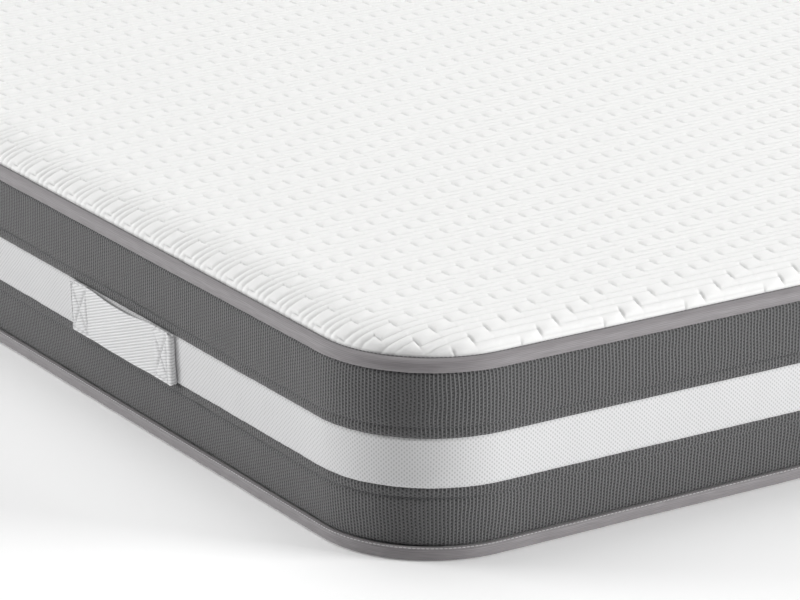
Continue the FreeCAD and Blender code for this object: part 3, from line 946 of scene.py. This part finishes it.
class MATTRESS_OT_bottom_cover(bpy.types.Operator):
    """Stretch the base cloth between the bottom tape's four sides"""
    bl_idname = "mattress.bottom_cover"
    bl_label = "Bottom cover"

    def execute(self, context):
        reach = BOTTOM_PANEL[1][0] - corner_centres()[0]
        low, top = BOTTOM_PANEL[0][2], BOTTOM_PANEL[1][2]
        count = round(perimeter_length() / (6 * MM))
        distance = np.arange(count) * perimeter_length() / count
        places, outward = on_perimeter(distance, reach - context.scene.mattress_body.corner_radius,
                                       (low + top) / 2)[:2]
        start_fresh()
        bpy.ops.mesh.primitive_circle_add(vertices=count, radius=1, fill_type="NOTHING")
        cover = context.object
        set_positions(cover, places)
        edit(cover)
        bpy.ops.mesh.select_all(action="SELECT")
        puckers = np.sin(distance / (3.1 * MM) + 2 * np.sin(distance / 0.05))
        # millimetres in from the seam, height as a share of the panel's, depth of the gathers
        for inwards, height, gather in ((0, 0.75, 0.0), (0.8, 0.15, 0.1), (5, 0.0, 0.25), (14, 0.1, 0.35),
                                        (30, 0.0, 0.2), (60, 0.0, 0.0)):
            laid = places - outward * inwards * MM
            laid[:, 2] = low + (top - low) * height + gather * MM * (1 + puckers) / 2
            extrude_to(cover, lambda rim: laid)
        bpy.ops.mesh.edge_face_add()
        object_mode()
        cloth = cover.modifiers.new("cloth", "SOLIDIFY")
        cloth.thickness = 0.8 * MM
        cloth.offset = -1
        bpy.ops.object.modifier_apply(modifier=cloth.name)
        finish_piece(cover, "bottom_cover", felt_material("base_cloth", "#8B8B8E"), 60)
        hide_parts("bottom_panel")
        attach(cover, "root")
        return {"FINISHED"}


# ---------------------------------------------------------------- handles

def handle_sizes(number):
    """Where a handle sits and where its parts begin and end."""
    ends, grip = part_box("handle_%d_sewn_ends" % number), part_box("handle_%d_grip" % number)
    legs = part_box("handle_%d_legs" % number)
    side = 1 if ends[0][0] > 0 else -1
    middle = (ends[0][1] + ends[1][1]) / 2
    return {"side": side, "middle": middle, "fold": ends[1][1] - middle, "sewn": legs[1][1] - middle,
            "grip": grip[1][1] - middle, "low": ends[0][2], "top": ends[1][2], "dip": grip[1][2],
            "grip_out": min(abs(grip[0][0]), abs(grip[1][0])) - HALF_WIDTH}


def box_lines(handle, right):
    """The stitch lines of a sewn end, as pairs of (distance from the handle's middle, height)."""
    near = handle["sewn"] - (4 if right else 1) * MM
    far = handle["fold"] - (11.5 if right else 4) * MM
    low, top = handle["low"] + 3 * MM, handle["top"] - 2 * MM
    return [((near, low), (near, top)), ((far, low), (far, top)), ((near, low), (far, low)),
            ((near, top), (far, top)), ((near, low), (far, top)), ((near, top), (far, low))]


def to_line(s, z, line):
    """Distance of points from a stitch line."""
    start, end = np.array(line[0]), np.array(line[1])
    along = end - start
    share = np.clip(((s - start[0]) * along[0] + (z - start[1]) * along[1]) / (along @ along), 0, 1)
    return np.hypot(s - start[0] - share * along[0], z - start[1] - share * along[1])


def strap_half(number, end, material):
    """Half a webbing handle: half the grip, a leg, and the sewn end with its edge folded under."""
    settings = bpy.context.scene.mattress_handle
    handle = handle_sizes(number)
    right = end * handle["side"] > 0
    half = settings.webbing / 2
    turn = half * (2.0 if right else 1.1)      # radius of the folded edge
    fold = handle["fold"] - turn - half
    bend = np.linspace(0, math.pi, 6)[1:-1]
    above = np.concatenate([np.linspace(0, handle["grip"], 9),
                            np.linspace(handle["grip"], handle["sewn"], 15)[1:],
                            np.linspace(handle["sewn"], fold, 24)[1:]])
    below = np.linspace(fold, handle["sewn"] + 1 * MM, 7)
    s = np.concatenate([above, fold + turn * np.sin(bend), below])
    lift = np.concatenate([np.full(len(above), 2 * turn), turn + turn * np.cos(bend),
                           np.zeros(len(below))])
    under = np.arange(len(s)) >= len(above)
    across = np.unique(np.concatenate([[0, 0.012, 0.03, 0.97, 0.988, 1], np.linspace(0, 1, 38)]))
    strap, i, j = grid(len(s) - 1, len(across) - 1)
    si, f = s[i], across[j]
    lines = box_lines(handle, right)
    near, far = lines[0][0][0], lines[1][0][0]
    free = np.clip(1 - si / near, 0, 1)
    free = np.sin(QUARTER * free) ** 1.6       # 0 on the sewn ends, 1 in the middle
    low = np.full(len(si), handle["low"])
    if right:        # the folded corner is drawn up and rounded
        tip = np.clip((si - far + 3 * MM) / (handle["fold"] - far + 3 * MM), 0, 1)
        low += 6 * MM * (1 - np.sqrt(1 - 0.98 * tip ** 2))
    top = handle["top"] - 0.7 * (handle["top"] - handle["dip"]) * free
    z = low + (top - low) * f + 0.25 * MM * np.sin(si * end / 0.011 + number) * free
    layers = np.interp(si, [far, far + 5 * MM], [2.2 * half, 2 * turn]) if right else 2 * turn
    lifted = np.where(under[i], lift[i], np.minimum(lift[i], layers))
    out = border_out(z) + 0.1 * MM + half + lifted
    stand = 0.6 * (handle["grip_out"] - 2 * half) + settings.bow
    out += free * (stand * (0.6 + 0.4 * f) + 0.5 * MM * np.cos((f - 0.5) * math.pi)) * ~under[i]
    gap = np.min([to_line(si, z, line) for line in lines], axis=0)
    sewn = (~under[i]) & (si > near - 3 * MM)
    out += np.where(sewn, 0.5 * MM - 1.7 * MM * np.exp(-(gap / (1.5 * MM)) ** 2), 0)
    z = np.where(under[i], low + 0.6 * MM + (top - low - 1.2 * MM) * f, z)
    set_positions(strap, np.column_stack([handle["side"] * (HALF_WIDTH + out),
                                          handle["middle"] + end * si, z]))
    layer = strap.data.uv_layers.new(name="strap")
    corner = corner_vertices(strap.data)
    run = np.concatenate([[0], np.cumsum(np.hypot(np.diff(s), np.diff(lift)))])[i] * end * handle["side"]
    layer.data.foreach_set("uv", np.column_stack([run, z])[corner].ravel())
    edge = np.minimum(f, 1 - f)
    selvedge = strap.vertex_groups.new(name="full")
    for low, high, weight in ((-1, 0.004, 0.3), (0.004, 0.02, 0.78), (0.02, 1, 1.0)):
        selvedge.add([int(v) for v in np.flatnonzero((edge > low) & (edge <= high))], weight, "REPLACE")
    cloth = strap.modifiers.new("webbing", "SOLIDIFY")
    cloth.thickness = settings.webbing
    cloth.offset = 0
    cloth.vertex_group = "full"
    cloth.thickness_vertex_group = 0.0
    bpy.ops.object.modifier_apply(modifier=cloth.name)
    edit(strap)
    bpy.ops.mesh.select_all(action="SELECT")
    bpy.ops.mesh.normals_make_consistent(inside=False)
    object_mode()
    name = "handle_%d_%s_strap" % (number, "right" if right else "left")
    finish_piece(strap, name, material, 50)
    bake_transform(strap)
    return strap


def box_stitching(number, material):
    """Box-and-cross stitching on both sewn ends of a handle."""
    settings = bpy.context.scene.mattress_handle
    handle = handle_sizes(number)
    places, travel = [], []
    for end in (-1, 1):
        for (s0, z0), (s1, z1) in box_lines(handle, end * handle["side"] > 0):
            length = math.hypot(s1 - s0, z1 - z0)
            count = round(length / settings.stitch)
            share = (np.arange(count) + 0.5) / count
            s, z = s0 + (s1 - s0) * share, z0 + (z1 - z0) * share
            out = border_out(z) + 2 * settings.webbing - 0.6 * MM
            places.append(np.column_stack([handle["side"] * (HALF_WIDTH + out),
                                           handle["middle"] + end * s, z]))
            way = np.array([0, end * (s1 - s0), z1 - z0]) / length
            travel.append(np.tile(way, (count, 1)))
    places, travel = np.concatenate(places), np.concatenate(travel)
    outward = np.tile([handle["side"], 0.0, 0.0], (len(places), 1))
    row = sewn_row("handle_%d_stitches" % number, places, travel, outward, 0.86 * settings.stitch,
                   settings.thread, material)
    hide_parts("handle_%d_box_stitching" % number)
    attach(row, "root")


class MATTRESS_OT_carrying_handles(bpy.types.Operator):
    """Fold, sew down and stitch the four webbing handles"""
    bl_idname = "mattress.carrying_handles"
    bl_label = "Carrying handles"

    def execute(self, context):
        settings = context.scene.mattress_handle
        webbing = webbing_material(settings)
        thread = thread_material("white_sewing_thread", settings.colour)
        for number in HANDLES:
            halves = [strap_half(number, end, webbing) for end in (-1, 1)]
            name = "handle_%d_" % number
            for half in halves:
                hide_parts(name + "sewn_ends", name + "legs", name + "grip")
            box_stitching(number, thread)
        return {"FINISHED"}


# ---------------------------------------------------------------- core

def dress(node, material):
    """Give a CAD piece its material."""
    piece = bpy.data.objects[node]
    if piece.material_slots:
        for slot in piece.material_slots:
            slot.material = material
    else:
        piece.data.materials.append(material)


class MATTRESS_OT_core_materials(bpy.types.Operator):
    """Give the foams, liner, felt and patches their materials"""
    bl_idname = "mattress.core_materials"
    bl_label = "Core materials"

    def execute(self, context):
        # pores of 0.6 to 1 mm are drawn a little coarser than the real foams have them
        dress("support_foam_base", foam_material("high_resilience_foam", "#EFEEE4", 1.0 * MM))
        dress("transition_foam_layer", foam_material("transition_foam", "#BFD3E2", 0.9 * MM))
        dress("memory_foam_layer", foam_material("viscoelastic_foam", "#F3EBD6", 0.6 * MM))
        dress("core_liner", felt_material("stretch_liner", "#EDEDED"))
        felt = felt_material("needled_felt", "#D9D9D4")
        dress("border_lining", felt)
        for number in HANDLES:
            dress("handle_%d_backing_patches" % number, felt)
        return {"FINISHED"}


# ---------------------------------------------------------------- studio

def soft_light(name, place, aim, size, power):
    """A soft box turned to a point."""
    start_fresh()
    bpy.ops.object.light_add(type="AREA", location=place)
    light = bpy.context.object
    light.name = name
    light.data.size = size
    light.data.energy = power
    light.rotation_euler = (Vector(aim) - Vector(place)).to_track_quat("-Z", "Y").to_euler()


class MATTRESS_OT_studio(bpy.types.Operator):
    """Lay the floor and set the lights and the camera"""
    bl_idname = "mattress.studio"
    bl_label = "Studio"

    def execute(self, context):
        scene = context.scene
        studio = scene.mattress_studio
        start_fresh()
        bpy.ops.mesh.primitive_plane_add(size=60)
        floor = context.object
        floor.name = "studio_floor"
        material, tree, shader = cloth_shader("matt_studio_floor", 0.9, 0.0)
        source = surface_parts(tree)[0]
        grain = add(tree, "ShaderNodeTexNoise", {"Vector": source, "Scale": 3.0, "Detail": 2.0})
        pale = linear(studio.floor)
        paint(tree, shader, grain.outputs["Fac"], tinted(pale, 0.985), pale)
        shader.inputs["Emission Color"].default_value = (1, 1, 1, 1)
        shader.inputs["Emission Strength"].default_value = 0.14
        floor.data.materials.append(material)

        # place, point aimed at, width, power in watts
        soft_light("left_soft_box", (-9.5, 8.8, 4.2), (-0.5, -0.5, 0.1), 5.2, 980)
        soft_light("right_soft_box", (9.8, -10.4, 4.2), (-0.3, -1.0, 0.1), 5.2, 1920)
        start_fresh()
        bpy.ops.object.light_add(type="SUN", location=(0, 1.5, 6), rotation=(math.radians(-20), 0, 0))
        ceiling = context.object
        ceiling.name = "ceiling_light"
        ceiling.data.energy = 1.78           # watts per square metre
        ceiling.data.angle = math.radians(70)

        world = bpy.data.worlds.new("studio_world")
        world.use_nodes = True
        world.node_tree.nodes["Background"].inputs["Color"].default_value = (1, 1, 1, 1)
        world.node_tree.nodes["Background"].inputs["Strength"].default_value = 0.04
        scene.world = world
        scene.view_settings.view_transform = "Standard"

        bpy.ops.object.camera_add(location=studio.camera,
                                  rotation=(math.radians(90) - studio.pitch, 0, -studio.yaw))
        camera = context.object
        camera.name = "studio_camera"
        camera.data.lens = studio.lens
        camera.data.sensor_width = 36
        camera.data.clip_end = 100
        scene.camera = camera
        return {"FINISHED"}


# ---------------------------------------------------------------- add-on

class MATTRESS_PT_panel(bpy.types.Panel):
    """Sizes, colours and the steps that make the mattress"""
    bl_label = "Mattress"
    bl_space_type = "VIEW_3D"
    bl_region_type = "UI"
    bl_category = "Mattress"

    def draw(self, context):
        layout = self.layout
        for name, kind in SETTINGS.items():
            box = layout.box()
            box.label(text=kind.__doc__.rstrip("."))
            for key in kind.__annotations__:
                box.prop(getattr(context.scene, name), key)
        for step in STEPS:
            layout.operator(step.bl_idname)


SETTINGS = {"mattress_body": BodySettings, "mattress_quilt": QuiltSettings,
            "mattress_border": BorderSettings, "mattress_handle": HandleSettings,
            "mattress_studio": StudioSettings}
STEPS = (MATTRESS_OT_border_strips, MATTRESS_OT_binding_tapes, MATTRESS_OT_seam_threads,
         MATTRESS_OT_bottom_cover, MATTRESS_OT_quilted_top, MATTRESS_OT_carrying_handles,
         MATTRESS_OT_core_materials, MATTRESS_OT_studio)


def register():
    for kind in (*SETTINGS.values(), *STEPS, MATTRESS_PT_panel):
        bpy.utils.register_class(kind)
    for name, kind in SETTINGS.items():
        setattr(bpy.types.Scene, name, bpy.props.PointerProperty(type=kind))


def unregister():
    for name in SETTINGS:
        delattr(bpy.types.Scene, name)
    for kind in reversed((*SETTINGS.values(), *STEPS, MATTRESS_PT_panel)):
        bpy.utils.unregister_class(kind)


def main():
    register()
    bpy.ops.mattress.border_strips()
    bpy.ops.mattress.binding_tapes()
    bpy.ops.mattress.seam_threads()
    bpy.ops.mattress.bottom_cover()
    bpy.ops.mattress.quilted_top()
    bpy.ops.mattress.carrying_handles()
    bpy.ops.mattress.core_materials()
    bpy.ops.mattress.studio()


if __name__ == "__main__":
    main()
